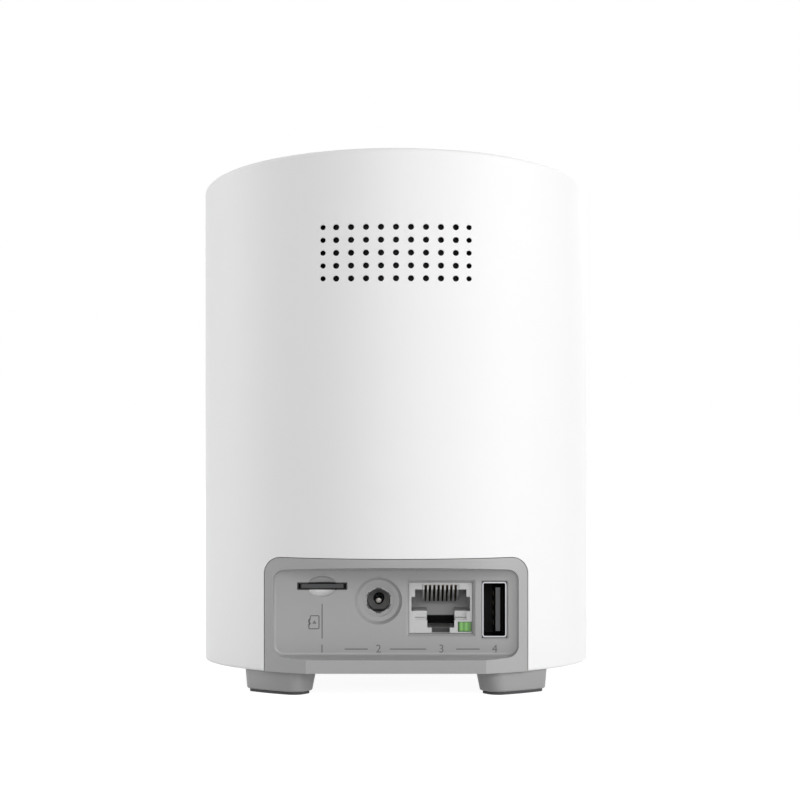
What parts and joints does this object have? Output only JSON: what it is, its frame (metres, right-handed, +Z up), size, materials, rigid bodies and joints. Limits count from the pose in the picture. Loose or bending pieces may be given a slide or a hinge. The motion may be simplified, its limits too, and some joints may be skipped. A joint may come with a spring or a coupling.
{
  "type": "security camera base station",
  "caption": "Round white base station with a slanted lid, a rear speaker grille and a recessed bay with card slot, power inlet, network jack and upright USB socket, on tapered feet.",
  "frame": {"origin": "middle of the footprint, on the surface that the foot pads rest on", "axes": "+Z up, the ports and the grille face +Y (the back), the slanted lid falls towards -Y (the front)"},
  "size_m": [0.095, 0.095, 0.1285],
  "materials": {
    "shell_white": "fine moulded texture",
    "bay_grey": "fine moulded texture",
    "base_grey": "fine moulded texture",
    "pad_rubber": "matt",
    "board_green": "solder resist",
    "chip_black": "moulded epoxy",
    "sink_aluminium": "extruded",
    "shield_tin": "tinned sheet",
    "capacitor_can": "drawn can",
    "socket_black": "moulded",
    "card_black": "moulded",
    "pin_nickel": "nickel plated",
    "jack_grey": "moulded",
    "contact_gold": "gold plated",
    "light_green": "clear lens",
    "usb_steel": "nickel plated",
    "frame_grey": "moulded",
    "speaker_black": "moulded",
    "magnet_steel": "zinc plated",
    "gasket_foam": "closed-cell foam",
    "lead_black": "flexible sheath",
    "flex_white": "flat film",
    "panel_black": "polished",
    "ring_clear": "frosted",
    "button_black": "satin",
    "switch_black": "moulded",
    "light_white": "lens",
    "reset_grey": "moulded",
    "screw_steel": "zinc plated"
  },
  "bodies": {
    "housing": {"outer_shell": "shell_white", "port_bay": "bay_grey", "base_tray": "base_grey", "foot_pads": "pad_rubber", "main_board": "board_green", "top_board": "board_green", "antennas": "board_green", "processor_chip": "chip_black", "memory_chips": "chip_black", "lan_transformer": "chip_black", "heat_sink": "sink_aluminium", "radio_shield": "shield_tin", "card_socket_cover": "shield_tin", "capacitors": "capacitor_can", "card_socket_base": "socket_black", "inlet_body": "socket_black", "usb_tongue": "socket_black", "board_sockets": "socket_black", "top_socket": "socket_black", "inlet_pin": "pin_nickel", "inlet_petals": "pin_nickel", "lan_housing": "jack_grey", "lan_comb": "jack_grey", "lan_contacts": "contact_gold", "usb_contacts": "contact_gold", "lan_light": "light_green", "usb_shell": "usb_steel", "inner_frame": "frame_grey", "top_carrier": "frame_grey", "speaker_frame": "speaker_black", "speaker_cone": "speaker_black", "speaker_magnet": "magnet_steel", "speaker_gasket": "gasket_foam", "speaker_leads": "lead_black", "antenna_leads": "lead_black", "top_cable": "flex_white", "top_panel": "panel_black", "light_ring": "ring_clear", "button_switch": "switch_black", "reset_switch": "switch_black", "status_lights": "light_white", "board_screws": "screw_steel", "base_screws": "screw_steel", "lid_screws": "screw_steel", "speaker_screws": "screw_steel"},
    "card": {"memory_card": "card_black"},
    "sync_key": {"sync_button": "button_black"},
    "reset_key": {"reset_button": "reset_grey"}
  },
  "joints": [
    {"name": "card_slide", "type": "slide", "parent": "housing", "child": "card", "axis": [0, 1, 0], "range_m": [-0.0008, 0.016]},
    {"name": "sync_press", "type": "slide", "parent": "housing", "child": "sync_key", "axis": [0, -0.165, 0.9863], "range_m": [-0.00025, 0], "stiffness_N_per_m": 1500, "springref_m": 0.0004},
    {"name": "reset_press", "type": "slide", "parent": "housing", "child": "reset_key", "axis": [0, 0, 1], "range_m": [0, 0.00025], "stiffness_N_per_m": 1000, "springref_m": -0.0004}
  ]
}
